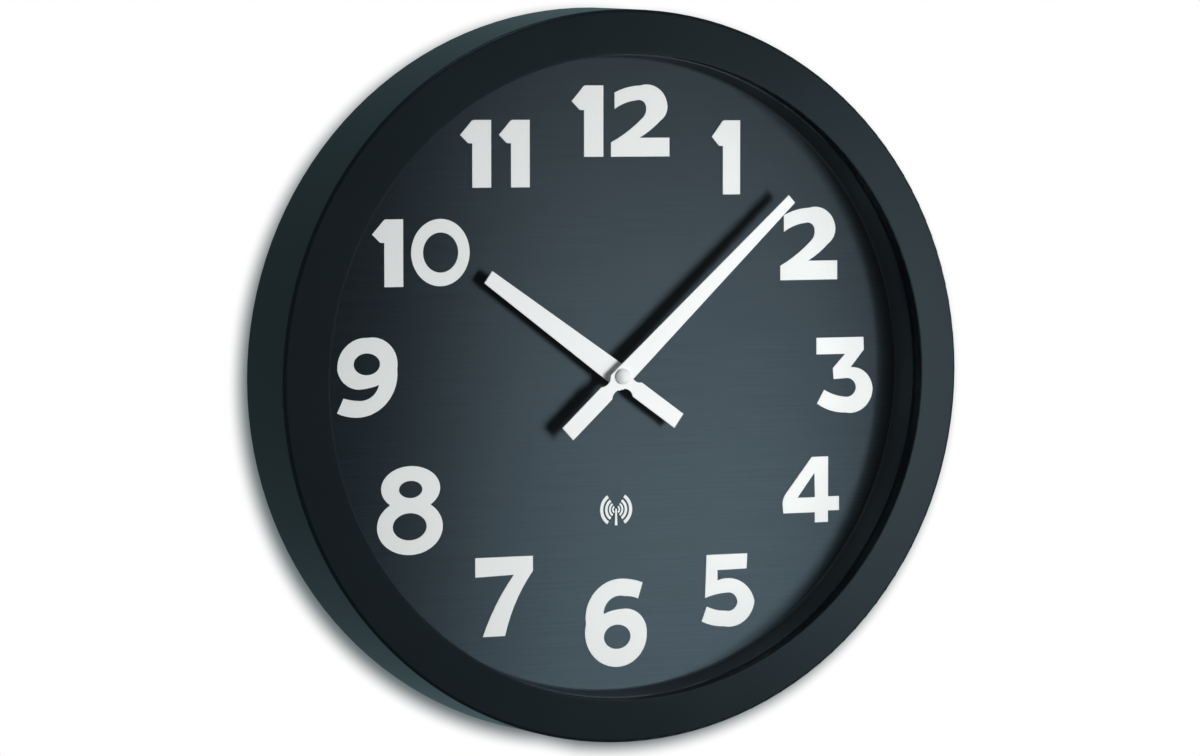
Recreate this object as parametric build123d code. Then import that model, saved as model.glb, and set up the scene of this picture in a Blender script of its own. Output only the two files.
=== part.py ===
from build123d import *
import os
from math import acos, asin, atan2, cos, degrees, hypot, pi, radians, sin, tan

# A round radio-controlled wall clock. Lengths are in millimetres and angles in degrees.
# X points right and Z up as seen from the front, the dial faces -Y and the wall is the plane Y = 0.
# The origin lies on the axis of the hands. "Front" is the smaller Y of a piece, "back" the larger.

# Case
case_radius = 150.0
case_draft = 1.5
case_wall = 3.0
case_edge_round = 1.6
rear_edge_round = 0.6
bezel_width = 18.0
bezel_rise = 3.8
bezel_thickness = 3.0
crest_round = 0.3
lip_depth = 5.0
locating_wall = 2.0
seat_clearance = 0.3
boss_radius = 3.6
boss_tip_clearance = 4.0
cover_screw_count = 6

# Glass and the ring behind it
glass_seat = 3.0
glass_thickness = 2.0
glass_bevel = 0.3
hand_cap_clearance = 2.1
spacer_setback = 0.3
spacer_taper = 0.7
spacer_foot = 0.6
spacer_foot_height = 0.8

# Dial and its print
dial_thickness = 1.0
dial_hole_clearance = 0.4
print_thickness = 0.15
numeral_margin = 27.0
numeral_height = 30.8
numeral_gap = 3.4
symbol_margin = 22.0
symbol_offset = 1.4
symbol_radius = 7.15
symbol_half_angle = 56.0
symbol_mast = 6.5
symbol_mast_rise = 0.35
symbol_mast_tip = 0.6
symbol_mast_foot = 1.15

# Hands
hand_thickness = 0.6
hand_heel = 3.6
hand_shoulder = 9.8
hand_neck = 4.6
hand_collet_wall = 1.0
hour_hand_height = 6.6
hour_hand_length = 70.6
hour_hand_root = 9.6
hour_hand_tip = 5.9
hour_hand_tail = 32.7
hour_hand_tail_width = 6.9
hour_hand_angle = 305.6
hour_collet_length = 2.0
hand_spacing = 3.6
minute_hand_length = 104.3
minute_hand_root = 8.1
minute_hand_tip = 4.2
minute_hand_tail = 33.3
minute_hand_tail_width = 6.9
minute_hand_angle = 46.8
minute_collet_length = 1.6
cap_radius = 3.2
cap_height = 2.2
cap_skirt = 0.8

# Carrier and rear cover
carrier_thickness = 2.0
carrier_skirt = 2.0
carrier_rib_width = 1.6
carrier_rib_height = 6.0
carrier_rib_clearance = 1.0
carrier_rib_count = 12
cover_recess = 3.0
cover_thickness = 2.0
cover_clearance = 0.6
window_clearance = 0.6
keyhole_margin = 48.4
keyhole_radius = 5.0
keyhole_slot = 5.0
keyhole_travel = 9.0
hanger_thickness = 1.2
hanger_margin = 5.0
hanger_screw_offset = 12.0
hanger_hole_margin = 2.0
hanger_boss_radius = 3.0
hanger_boss_height = 5.0

# Screws
screw_fit = 0.05
cover_screw_radius = 1.4
cover_screw_length = 12.0
cover_head_radius = 2.8
cover_head_height = 1.6
movement_screw_radius = 1.1
movement_screw_bite = 3.6
movement_head_radius = 2.2
movement_head_height = 1.3
hanger_screw_radius = 1.1
hanger_screw_length = 6.0
hanger_head_radius = 2.0
hanger_head_height = 0.9
train_screw_radius = 0.6
train_screw_length = 3.0
train_head_radius = 1.1
train_head_height = 0.7
recess_span_share = 0.62
recess_width_share = 0.2
recess_depth_share = 0.5
screw_passage = 0.2

# Movement shells
movement_sink = 0.4
movement_wall = 1.2
movement_corner = 2.4
lid_depth = 3.6
lid_clearance = 0.1
ear_reach = 7.5
ear_width = 8.0
ear_thickness = 2.0
ear_boss_height = 4.0
ear_hole_inset = 3.6
ear_boss_radius = 3.2
chamber_margin = 2.0
post_radius = 1.5
post_gap = 0.9
post_hole_depth = 4.0

# Battery and its bay
battery_radius = 7.0
battery_body = 49.0
battery_round = 0.6
battery_nub_radius = 2.75
battery_nub = 1.4
battery_gap = 0.1
battery_sink = 0.4
bay_clearance = 0.3
tongue_width = 6.0
tongue_depth = 3.0
tongue_inset = 1.0
tongue_offset = 12.0
contact_thickness = 0.4
contact_width = 7.0
contact_margin = 2.0
contact_rail_width = 3.0
leaf_thickness = 0.3
leaf_bow = 2.1
leaf_gap = 0.35
leaf_span = 6.4
leaf_width = 5.0

# Arbor, pipe and bush on the hand axis
arbor_radius = 1.4
arbor_tip_radius = 1.15
arbor_tip_rise = 1.2
running_gap = 0.05
pipe_wall = 1.05
pipe_rise = 0.3
bush_wall = 0.95
bush_rise = 0.8
press_gap = 0.03

# Gear train
motion_module = 0.30
centre_module = 0.25
third_module = 0.22
cannon_teeth = 12
motion_teeth = 36
motion_pinion_teeth = 10
hour_teeth = 40
centre_teeth = 80
third_pinion_teeth = 8
third_teeth = 72
rotor_teeth = 8
motion_angle = 225.0
third_angle = 20.0
rotor_angle = 10.0
pressure_angle = 20.0
addendum_share = 0.75
dedendum_share = 1.15
tooth_thinning_share = 0.17
wheel_thickness = 0.8
level_gap = 0.4
axial_play = 0.2
wheel_arbor_radius = 0.6
pivot_radius = 0.45
pivot_length = 0.8
pivot_boss_radius = 1.5
motion_post_radius = 0.6

# Stepping motor, bridge and screws in the movement
magnet_radius = 3.0
magnet_thickness = 2.4
magnet_wall_gap = 0.5
stator_ring = 2.5
stator_thickness = 1.2
stator_leg_width = 4.5
stator_knee = 7.5
bridge_thickness = 1.0
bridge_gap = 0.8
bridge_margin = 3.0
bridge_wall_gap = 0.3
upper_post_angle = 76.0
lower_post_angle = 265.5
rotor_post_angle = 59.0
coil_drop = 14.4
coil_left = 3.5
coil_right = 21.5
core_width = 3.0
core_thickness = 1.0
bobbin_inset = 2.7
bobbin_flange = 0.8
bobbin_flange_radius = 3.6
bobbin_tube_radius = 2.2
bobbin_clearance = 0.1
winding_radius = 3.2

# Electronics
board_thickness = 1.0
board_left_gap = 0.5
board_right = -9.0
board_top = 12.5
board_bottom_gap = 0.6
board_post_inset = 3.0
chip_size = 6.0
chip_thickness = 1.2
chip_place_shares = (0.60, 0.51)
crystal_radius = 1.0
crystal_length = 6.0
crystal_place_shares = (0.28, 0.75)
dome_radius = 2.2
dome_thickness = 0.5
antenna_gap = 1.1
antenna_top_gap = 0.7
antenna_radius = 2.5
antenna_half_length = 24.0
antenna_front_gap = 3.1
antenna_coil_radius = 3.5
antenna_coil_left = -20.0
antenna_coil_right = -4.0
cradle_width = 2.0
cradle_inset = 1.0
cradle_grip = 1.5

# Buttons on the movement's back
button_column = -17.5
button_spacing = 7.5
button_radius = 2.0
button_clearance = 0.15
button_proud = 0.9
button_flange = 0.8
button_flange_thickness = 0.6
button_stem_radius = 1.2
button_travel = 0.8
button_stop_gap = 0.1

# Cuts run past the faces they open, and joined solids sink this far into each other
overrun = 1.0
weld = 0.4

# The twelve numerals: heights as shares of numeral_height, widths as shares of what that height gives,
# and how far each stands off its place on the numeral circle, as shares of that circle's radius
numeral_shares = {
    1: (0.989, 0.866, -0.010, -0.011),
    2: (0.971, 0.970, -0.008, 0.007),
    3: (1.023, 0.997, 0.020, -0.024),
    4: (0.891, 0.983, 0.004, 0.016),
    5: (0.973, 1.018, 0.003, -0.008),
    6: (1.178, 0.982, 0.015, 0.017),
    7: (1.045, 1.008, 0.035, 0.009),
    8: (1.162, 0.988, 0.007, -0.005),
    9: (1.031, 1.001, -0.034, 0.015),
    10: (0.877, 1.009, 0.056, -0.007),
    11: (0.883, 1.016, -0.001, 0.008),
    12: (0.940, 0.996, 0.033, 0.000),
}

# The ten figures, as shares of their height, from the lower left corner. A plain point is reached by a
# straight line, and a pair of points is an arc through the first to the second.
# Ovals are centre x, centre z, half width, half height.
figure_outline_shares = {
    "1": ((0.19, 0.0), (0.485, 0.0), (0.485, 1.0), (0.22, 1.0), ((0.19, 0.992), (0.165, 0.968)),
          (0.0, 0.78), (0.105, 0.675), ((0.125, 0.66), (0.15, 0.655)), (0.19, 0.655)),
    "2": ((0.0, 0.0), (0.905, 0.0), (0.905, 0.265), (0.44, 0.265), ((0.62, 0.38), (0.765, 0.505)),
          ((0.85, 0.60), (0.874, 0.714)), ((0.78, 0.92), (0.455, 1.0)), ((0.24, 0.97), (0.054, 0.90)),
          (0.056, 0.67), ((0.23, 0.757), (0.40, 0.792)), ((0.51, 0.765), (0.544, 0.69)),
          ((0.535, 0.615), (0.49, 0.545)), ((0.30, 0.385), (0.0, 0.20))),
    "3": ((0.0, 1.0), (0.0, 0.78), (0.423, 0.78), (0.243, 0.592), (0.254, 0.448), (0.43, 0.457),
          ((0.54, 0.425), (0.586, 0.33)), ((0.55, 0.25), (0.423, 0.21)), ((0.255, 0.245), (0.116, 0.31)),
          (0.01, 0.13), ((0.215, 0.032), (0.44, 0.0)), ((0.735, 0.085), (0.834, 0.295)),
          ((0.745, 0.51), (0.505, 0.60)), (0.70, 0.83), (0.695, 1.0)),
    "4": ((0.50, 1.0), (0.07, 0.47), ((0.02, 0.39), (0.0, 0.30)), (0.015, 0.155), (0.555, 0.155),
          (0.555, 0.0), (0.78, 0.0), (0.78, 0.175), (0.97, 0.175), (0.97, 0.39), (0.78, 0.39), (0.78, 1.0)),
    "5": ((0.072, 1.0), (0.05, 0.405), ((0.21, 0.45), (0.37, 0.467)), ((0.49, 0.43), (0.535, 0.335)),
          ((0.50, 0.255), (0.36, 0.215)), ((0.21, 0.235), (0.076, 0.286)), (0.0, 0.083),
          ((0.165, 0.022), (0.34, 0.0)), ((0.665, 0.085), (0.79, 0.335)), ((0.615, 0.595), (0.234, 0.64)),
          (0.234, 0.785), (0.67, 0.79), (0.68, 1.0)),
    "6": ((0.71, 0.947), ((0.57, 0.986), (0.42, 1.0)), ((0.115, 0.865), (0.0, 0.50)),
          ((0.10, 0.125), (0.383, 0.0)), ((0.66, 0.11), (0.763, 0.375)), ((0.685, 0.575), (0.46, 0.656)),
          ((0.335, 0.643), (0.22, 0.606)), ((0.285, 0.755), (0.48, 0.80)), ((0.57, 0.792), (0.653, 0.766))),
    "7": ((0.0, 1.0), (0.0, 0.755), (0.52, 0.77), ((0.275, 0.39), (0.10, 0.0)), (0.40, 0.0),
          ((0.585, 0.505), (0.777, 0.81)), (0.777, 1.0)),
    "9": ((0.0, 0.06), ((0.12, 0.018), (0.25, 0.0)), ((0.68, 0.19), (0.807, 0.60)),
          ((0.70, 0.915), (0.41, 1.0)), ((0.11, 0.885), (0.006, 0.60)), ((0.10, 0.43), (0.30, 0.352)),
          ((0.43, 0.368), (0.562, 0.404)), ((0.475, 0.265), (0.285, 0.21)), ((0.185, 0.222), (0.087, 0.245))),
}
figure_oval_shares = {
    "0": ((0.462, 0.5, 0.462, 0.5),),
    "8": ((0.41, 0.748, 0.358, 0.252), (0.40, 0.315, 0.40, 0.315)),
}
figure_hole_shares = {
    "0": ((0.465, 0.5, 0.278, 0.298),),
    "6": ((0.391, 0.342, 0.167, 0.138),),
    "8": ((0.41, 0.737, 0.142, 0.097), (0.397, 0.318, 0.206, 0.153)),
    "9": ((0.40, 0.668, 0.176, 0.137),),
}
figure_corner_hole_shares = {"4": ((0.545, 0.76), (0.255, 0.385), (0.555, 0.385))}
# Outer radius and stroke of each wave of the radio symbol, as shares of symbol_radius
symbol_wave_shares = ((1.0, 0.19), (0.69, 0.154), (0.445, 0.112), (0.248, 0.09))

figure_width_shares = {"0": 0.924, "1": 0.485, "2": 0.905, "3": 0.834, "4": 0.97,
                       "5": 0.79, "6": 0.763, "7": 0.777, "8": 0.80, "9": 0.807}


def step(start, distance, direction):
    """The point at a distance and an angle from another point."""
    return (start[0] + distance * cos(radians(direction)), start[1] + distance * sin(radians(direction)))


# Places of the gear train and its posts, seen from the front
motion_distance = motion_module * (cannon_teeth + motion_teeth) / 2
hour_module = 2 * motion_distance / (motion_pinion_teeth + hour_teeth)
third_distance = centre_module * (centre_teeth + third_pinion_teeth) / 2
rotor_distance = third_module * (third_teeth + rotor_teeth) / 2
centre_place = (0.0, 0.0)
motion_place = step(centre_place, motion_distance, motion_angle)
third_place = step(centre_place, third_distance, third_angle)
rotor_place = step(third_place, rotor_distance, rotor_angle)
centre_tip_radius = centre_module * (centre_teeth / 2 + addendum_share)
stator_hole = magnet_radius + magnet_wall_gap
stator_radius = stator_hole + stator_ring
post_reach = centre_tip_radius + post_gap + post_radius
rotor_post_reach = stator_radius + post_gap + post_radius
upper_post = step(centre_place, post_reach, upper_post_angle)
lower_post = step(centre_place, post_reach, lower_post_angle)
rotor_post = step(rotor_place, rotor_post_reach, rotor_post_angle)
bridge_posts = (upper_post, rotor_post, lower_post)
coil_ends = ((coil_left, -coil_drop), (coil_right, -coil_drop))
bobbin_left = coil_left + bobbin_inset
bobbin_right = coil_right - bobbin_inset

# Extents of the movement: wide and deep enough for its battery, and high enough for its train and aerial
leaf_reach = contact_thickness - leaf_thickness / 2 + leaf_bow
battery_room = contact_thickness + battery_gap + battery_nub + battery_body + leaf_gap + leaf_reach
inner_half_width = max(battery_room / 2, rotor_post[0] + bridge_margin + bridge_wall_gap)
half_width = inner_half_width + movement_wall
antenna_rise = max(upper_post[1], rotor_post[1]) + post_radius + antenna_gap + antenna_radius
inner_top = antenna_rise + antenna_coil_radius + antenna_top_gap
movement_rise = inner_top + movement_wall
bay_height = 2 * battery_radius + 2 * bay_clearance
chamber_bottom = -coil_drop - bobbin_flange_radius - chamber_margin
chamber_wall_bottom = chamber_bottom - movement_wall
tray_top = chamber_wall_bottom - press_gap
bay_top = tray_top - movement_wall
bay_bottom = bay_top - bay_height
battery_height = (bay_bottom + bay_top) / 2
movement_bottom = bay_bottom - movement_wall
movement_width = 2 * half_width
movement_height = movement_rise - movement_bottom
movement_middle = (movement_rise + movement_bottom) / 2
movement_depth = movement_wall + bay_clearance + 2 * battery_radius + battery_sink
carrier_rib_inner = hypot(half_width, movement_bottom) + carrier_rib_clearance
ear_hole = half_width + ear_hole_inset
battery_tip = inner_half_width - contact_thickness - battery_gap

# Planes of the stack, from the wall to the front
minute_hand_height = hour_hand_height + hand_spacing
spacer_height = minute_hand_height + cap_height + hand_cap_clearance
cover_back = -cover_recess
cover_front = cover_back - cover_thickness
movement_back = cover_back - movement_sink
movement_front = movement_back - movement_depth
carrier_back = movement_front
carrier_front = carrier_back - carrier_thickness
dial_back = carrier_front
dial_front = dial_back - dial_thickness
glass_back = dial_front - spacer_height
glass_front = glass_back - glass_thickness
crest = glass_front - lip_depth
case_edge = crest + bezel_rise
inner_front = movement_front + movement_wall
lid_inner = movement_back - movement_wall
parting = movement_back - lid_depth
ear_front = movement_front + ear_boss_height
ear_back = ear_front + ear_thickness
movement_screw_length = ear_thickness + movement_screw_bite
movement_screw_end = ear_back - movement_screw_length
boss_hole_end = cover_back - cover_screw_length - boss_tip_clearance
hanger_front = cover_back + press_gap
hanger_back = hanger_front + hanger_thickness
hanger_screw_end = hanger_back - hanger_screw_length
antenna_middle = inner_front + antenna_front_gap + antenna_radius
contact_middle = inner_front + bay_clearance + battery_radius

# Radii that follow from the case and its bezel
case_front_radius = case_radius - case_draft
opening_radius = case_front_radius - bezel_width
glass_radius = opening_radius + glass_seat
pocket_radius = glass_radius + seat_clearance
pocket_outer_radius = pocket_radius + locating_wall
boss_circle = (pocket_outer_radius + case_front_radius - case_wall) / 2
cover_radius = case_radius - case_wall - cover_clearance
keyhole_height = cover_radius - keyhole_margin
keyhole_middle = keyhole_height + keyhole_travel / 2
hanger_screw_places = [(side * hanger_screw_offset, keyhole_middle) for side in (-1, 1)]
numeral_circle = opening_radius - numeral_margin
six_height_share, _, _, six_up_share = numeral_shares[6]
six_top = (six_up_share - 1) * numeral_circle + six_height_share * numeral_height / 2
symbol_height = six_top + symbol_margin + symbol_mast
cover_screw_places = [step(centre_place, boss_circle, 360 * number / cover_screw_count)
                      for number in range(cover_screw_count)]

# Radii on the hand axis
pipe_inner = arbor_radius + running_gap
pipe_outer = pipe_inner + pipe_wall
bush_inner = pipe_outer + running_gap
bush_outer = bush_inner + bush_wall
axis_hole = bush_outer + dial_hole_clearance

# Levels of the gear train, front to back
hour_wheel_front = inner_front + axial_play
hour_wheel_back = hour_wheel_front + wheel_thickness
motion_front = hour_wheel_back + level_gap
motion_back = motion_front + wheel_thickness
cannon_front = hour_wheel_back + axial_play
cannon_back = motion_back + axial_play
centre_front = cannon_back + axial_play
centre_back = centre_front + wheel_thickness
third_pinion_front = centre_front - axial_play
third_front = centre_back + level_gap
third_back = third_front + wheel_thickness
rotor_front = third_front - axial_play
rotor_pinion_back = third_back + axial_play
magnet_front = rotor_pinion_back + level_gap
magnet_back = magnet_front + magnet_thickness
stator_front = (magnet_front + magnet_back - stator_thickness) / 2
stator_back = stator_front + stator_thickness
core_back = stator_back + core_thickness
core_middle = (stator_back + core_back) / 2
bridge_front = magnet_back + bridge_gap
bridge_back = bridge_front + bridge_thickness

# The circuit board, level with the bridge, and what stands on it
board_front = bridge_front
board_back = board_front + board_thickness
board_left = board_left_gap - inner_half_width
board_bottom = chamber_bottom + board_bottom_gap
board_width = board_right - board_left
board_height = board_top - board_bottom
board_posts = ((board_left + board_post_inset, board_top - board_post_inset),
               (board_left + board_post_inset, board_bottom + board_post_inset),
               (board_right - board_post_inset, board_bottom + board_post_inset))
button_places = [(button_column, row * button_spacing) for row in (1, 0, -1)]


def level(y):
    """A drawing plane facing the front at depth y, with X to the right and Z up."""
    return Plane(origin=(0, y, 0), x_dir=(1, 0, 0), z_dir=(0, -1, 0))


def slab(drawing, back, front):
    """A flat drawing as a solid between two depths."""
    return extrude(level(back) * drawing, amount=back - front)


def disc(place, radius, back, front):
    """A round solid along the depth, at a place seen from the front."""
    return slab(Pos(*place) * Circle(radius), back, front)


def tube(place, outer, inner, back, front):
    """A hollow round solid along the depth."""
    return slab(Pos(*place) * (Circle(outer) - Circle(inner)), back, front)


def block(left, right, bottom, top, back, front):
    """A box between two limits in X, Z and depth."""
    middle = Pos((left + right) / 2, (bottom + top) / 2)
    return slab(middle * Rectangle(right - left, top - bottom), back, front)


def rod_across(radius, left, right, y, z):
    """A round bar along X."""
    end = Plane(origin=(left, y, z), x_dir=(0, 1, 0), z_dir=(1, 0, 0))
    return extrude(end * Circle(radius), amount=right - left)


def polygon(points):
    """A flat face through corner points."""
    return make_face(Polyline(*points, close=True))


def spin(drawing):
    """A profile of radius and depth, turned about the hand axis."""
    return revolve(drawing, axis=Axis.Y)


def rounded(drawing, corners, radius):
    """The profile with the corners nearest to the given points rounded."""
    vertices = [drawing.vertices().sort_by_distance((*corner, 0))[0] for corner in corners]
    return fillet(vertices, radius)


def curve_face(steps, wide, high):
    """A flat face from a list of shares: lines to plain points, arcs to pairs of points."""
    pairs = [item if isinstance(item[0], tuple) else (item,) for item in steps]
    points = [[(x * wide, z * high) for x, z in pair] for pair in pairs]
    here = points[0][-1]
    edges = []
    for item in points[1:] + points[:1]:
        edges.append(ThreePointArc(here, *item) if len(item) == 2 else Line(here, item[0]))
        here = item[-1]
    return make_face(edges)


def strip(start, end, width):
    """A flat bar with round ends between two points."""
    run = (end[0] - start[0], end[1] - start[1])
    length = hypot(*run)
    turn = degrees(atan2(run[1], run[0]))
    middle = Pos((start[0] + end[0]) / 2, (start[1] + end[1]) / 2)
    return middle * Rot(Z=turn) * SlotCenterToCenter(length, width)


def case_frame():
    """Side wall, bezel and lip turned in one piece, with posts inside for the cover's screws."""
    channel_floor = case_edge + bezel_thickness
    face = polygon([(case_front_radius, case_edge), (opening_radius, crest), (opening_radius, glass_front),
                    (pocket_radius, glass_front), (pocket_radius, dial_back),
                    (pocket_outer_radius, dial_back), (pocket_outer_radius, channel_floor),
                    (case_front_radius - case_wall, channel_floor), (case_radius - case_wall, 0),
                    (case_radius, 0)])
    face = rounded(face, [(case_front_radius, case_edge)], case_edge_round)
    face = rounded(face, [(opening_radius, crest)], crest_round)
    face = rounded(face, [(case_radius, 0)], rear_edge_round)
    frame = spin(face)
    for place in cover_screw_places:
        frame += disc(place, boss_radius, cover_front, channel_floor - weld)
    for place in cover_screw_places:
        frame -= disc(place, cover_screw_radius + screw_fit, cover_front + overrun, boss_hole_end)
    return frame


def glass_lens():
    """Flat glass with a fine bevel, held between the lip and the spacer ring."""
    flat = glass_radius - glass_bevel
    return spin(polygon([(0, glass_back), (flat, glass_back), (glass_radius, glass_back - glass_bevel),
                         (glass_radius, glass_front + glass_bevel), (flat, glass_front), (0, glass_front)]))


def spacer_ring():
    """Inner wall from the glass to the dial, drawn in a little and ending in a small foot."""
    top = opening_radius - spacer_setback
    low = top - spacer_taper
    foot = low - spacer_foot
    foot_top = dial_front - spacer_foot_height
    return spin(polygon([(glass_radius, glass_back), (glass_radius, dial_front), (foot, dial_front),
                         (low, foot_top), (top, glass_back)]))


def dial_plate():
    return slab(Circle(glass_radius) - Circle(axis_hole), dial_back, dial_front)


def figure_face(figure, wide, high):
    """One figure as a flat drawing from its lower left corner."""
    face = Sketch()
    if figure in figure_outline_shares:
        face += curve_face(figure_outline_shares[figure], wide, high)
    for x, z, half_wide, half_high in figure_oval_shares.get(figure, ()):
        face += Pos(x * wide, z * high) * Ellipse(half_wide * wide, half_high * high)
    for x, z, half_wide, half_high in figure_hole_shares.get(figure, ()):
        face -= Pos(x * wide, z * high) * Ellipse(half_wide * wide, half_high * high)
    if figure in figure_corner_hole_shares:
        face -= curve_face(figure_corner_hole_shares[figure], wide, high)
    return face


def hour_numerals():
    """The printed figures of the twelve hours, upright, as thin films on the dial."""
    films = []
    for hour, (height_share, width_share, right_share, up_share) in numeral_shares.items():
        high = numeral_height * height_share
        wide = high * width_share
        widths = [figure_width_shares[figure] * wide for figure in str(hour)]
        total = sum(widths) + numeral_gap * (len(widths) - 1)
        nudge = (right_share * numeral_circle, up_share * numeral_circle)
        middle = step(nudge, numeral_circle, 90 - 30 * hour)
        left = middle[0] - total / 2
        for figure, width in zip(str(hour), widths):
            face = Pos(left, middle[1] - high / 2) * figure_face(figure, wide, high)
            films += slab(face, dial_front, dial_front - print_thickness).solids()
            left += width + numeral_gap
    return Compound(children=films)


def radio_symbol():
    """A plain aerial with pairs of waves that widen outwards, printed below the axis."""
    face = polygon([(-symbol_mast_tip / 2, symbol_mast_rise), (symbol_mast_tip / 2, symbol_mast_rise),
                    (symbol_mast_foot / 2, -symbol_mast), (-symbol_mast_foot / 2, -symbol_mast)])
    for outer_share, stroke_share in symbol_wave_shares:
        outer = symbol_radius * outer_share
        inner = outer - symbol_radius * stroke_share
        reach = outer + overrun
        rise = reach * tan(radians(symbol_half_angle))
        for side in (-1, 1):
            sector = polygon([(0, 0), (side * reach, side * rise), (side * reach, -side * rise)])
            face += (Circle(outer) - Circle(inner)) & sector
    films = slab(Pos(symbol_offset, symbol_height) * face, dial_front, dial_front - print_thickness)
    return Compound(children=films.solids())


def hand_face(length, root, tip, tail, tail_width, hole):
    """A hand pointing up: a tapering blade, a waist with hollow sides and a straight tail."""
    waist = -(hand_heel + hand_shoulder) / 2
    half_tail = tail_width / 2
    blade = Polyline((-root / 2, -hand_heel), (-tip / 2, length), (tip / 2, length), (root / 2, -hand_heel))
    right = ThreePointArc((root / 2, -hand_heel), (hand_neck / 2, waist), (half_tail, -hand_shoulder))
    straight = Polyline((half_tail, -hand_shoulder), (half_tail, -tail), (-half_tail, -tail),
                        (-half_tail, -hand_shoulder))
    left = ThreePointArc((-half_tail, -hand_shoulder), (-hand_neck / 2, waist), (-root / 2, -hand_heel))
    return make_face([blade, right, straight, left]) - Circle(hole)


def collet(hole, length, back):
    """The short tube by which a hand sits on its arbor."""
    return tube(centre_place, hole + hand_collet_wall, hole, back + length, back - hand_thickness / 2)


def hour_hand():
    front = dial_front - hour_hand_height
    back = front + hand_thickness
    hole = pipe_outer + press_gap
    face = hand_face(hour_hand_length, hour_hand_root, hour_hand_tip, hour_hand_tail,
                     hour_hand_tail_width, hole)
    return slab(Rot(Z=-hour_hand_angle) * face, back, front) + collet(hole, hour_collet_length, back)


def minute_hand():
    front = dial_front - minute_hand_height
    back = front + hand_thickness
    hole = arbor_tip_radius + press_gap
    face = hand_face(minute_hand_length, minute_hand_root, minute_hand_tip, minute_hand_tail,
                     minute_hand_tail_width, hole)
    return slab(Rot(Z=-minute_hand_angle) * face, back, front) + collet(hole, minute_collet_length, back)


def hand_cap():
    """A small domed nut on the arbor's tip, resting on the minute hand."""
    base = dial_front - minute_hand_height
    hole = arbor_tip_radius + press_gap
    bottom = base - arbor_tip_rise - press_gap
    rise = cap_height - cap_skirt
    ball = (cap_radius ** 2 + rise ** 2) / (2 * rise)
    half_turn = asin(cap_radius / ball) / 2
    middle = (ball * sin(half_turn), base - cap_height + ball * (1 - cos(half_turn)))
    dome = ThreePointArc((cap_radius, base - cap_skirt), middle, (0, base - cap_height))
    rest = Polyline((0, base - cap_height), (0, bottom), (hole, bottom), (hole, base), (cap_radius, base),
                    (cap_radius, base - cap_skirt))
    return spin(make_face([dome, rest]))


def dial_carrier():
    """Backing disc with a skirt that the rear cover presses on, ribs, and posts for the movement."""
    carrier = slab(Circle(glass_radius) - Circle(axis_hole), carrier_back, carrier_front)
    skirt_inner = glass_radius - carrier_skirt
    carrier += tube(centre_place, glass_radius, skirt_inner, cover_front, carrier_back - weld)
    rib_middle = (carrier_rib_inner + skirt_inner) / 2
    rib_length = skirt_inner - carrier_rib_inner + weld
    rib = Pos(rib_middle, 0) * Rectangle(rib_length, carrier_rib_width)
    for number in range(carrier_rib_count):
        turn = 360 * (number + 0.5) / carrier_rib_count
        carrier += slab(Rot(Z=turn) * rib, carrier_back + carrier_rib_height, carrier_back - weld)
    for side in (-1, 1):
        place = (side * ear_hole, 0)
        pilot = movement_screw_radius + screw_fit
        carrier += disc(place, ear_boss_radius, ear_front, carrier_back - weld)
        carrier -= disc(place, pilot, ear_front + overrun, movement_screw_end - axial_play)
    return carrier


def keyhole_face():
    """Round entry for the head of a wall screw, and the slot above it for the shank."""
    slot = Pos(0, keyhole_height + keyhole_travel / 2) * Rectangle(keyhole_slot, keyhole_travel)
    end = Pos(0, keyhole_height + keyhole_travel) * Circle(keyhole_slot / 2)
    return Pos(0, keyhole_height) * Circle(keyhole_radius) + slot + end


def movement_outline(margin):
    """The movement seen from the back, grown by a margin."""
    width = movement_width + 2 * margin
    height = movement_height + 2 * margin
    return Pos(0, movement_middle) * RectangleRounded(width, height, movement_corner + margin)


def rear_cover():
    """Back plate with the movement's window, and a wide hole and two posts under the hanger plate."""
    hole = 2 * (keyhole_radius + hanger_hole_margin)
    face = Circle(cover_radius) - movement_outline(window_clearance)
    face -= Pos(0, keyhole_middle) * RectangleRounded(hole, hole + keyhole_travel, keyhole_radius)
    cover = slab(face, cover_back, cover_front)
    for place in hanger_screw_places:
        pilot = hanger_screw_radius + screw_fit
        cover += disc(place, hanger_boss_radius, cover_front + weld, cover_front - hanger_boss_height)
        cover -= disc(place, pilot, cover_back + overrun, hanger_screw_end - axial_play)
    for place in cover_screw_places:
        cover -= disc(place, cover_screw_radius + screw_passage, cover_back + overrun, cover_front - overrun)
    return cover


def hanger_plate():
    """Stamped plate on the back of the cover, with the keyhole for a wall screw."""
    width = 2 * (hanger_screw_offset + hanger_margin)
    height = 2 * (keyhole_radius + hanger_margin) + keyhole_travel
    face = Pos(0, keyhole_middle) * RectangleRounded(width, height, hanger_margin) - keyhole_face()
    for place in hanger_screw_places:
        face -= Pos(*place) * Circle(hanger_screw_radius + screw_passage)
    return slab(face, hanger_back, hanger_front)


def screw(place, seat, radius, length, head_radius, head_height):
    """A pan-head screw pointing to the front, its head resting on a seat, with a crossed recess."""
    body = disc(place, radius, seat + weld, seat - length)
    body += disc(place, head_radius, seat + head_height, seat)
    rim = body.edges().filter_by(GeomType.CIRCLE).group_by(Axis.Y)[-1]
    body = fillet(rim, head_height / 2)
    span = 2 * head_radius * recess_span_share
    width = 2 * head_radius * recess_width_share
    cross = Pos(*place) * (Rectangle(span, width) + Rectangle(width, span))
    return body - slab(cross, seat + head_height + overrun, seat + head_height * recess_depth_share)


def cover_screws():
    sizes = (cover_screw_radius, cover_screw_length, cover_head_radius, cover_head_height)
    return Compound(children=[screw(place, cover_back, *sizes) for place in cover_screw_places])


def movement_screws():
    sizes = (movement_screw_radius, movement_screw_length, movement_head_radius, movement_head_height)
    return Compound(children=[screw((side * ear_hole, 0), ear_back, *sizes) for side in (-1, 1)])


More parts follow.
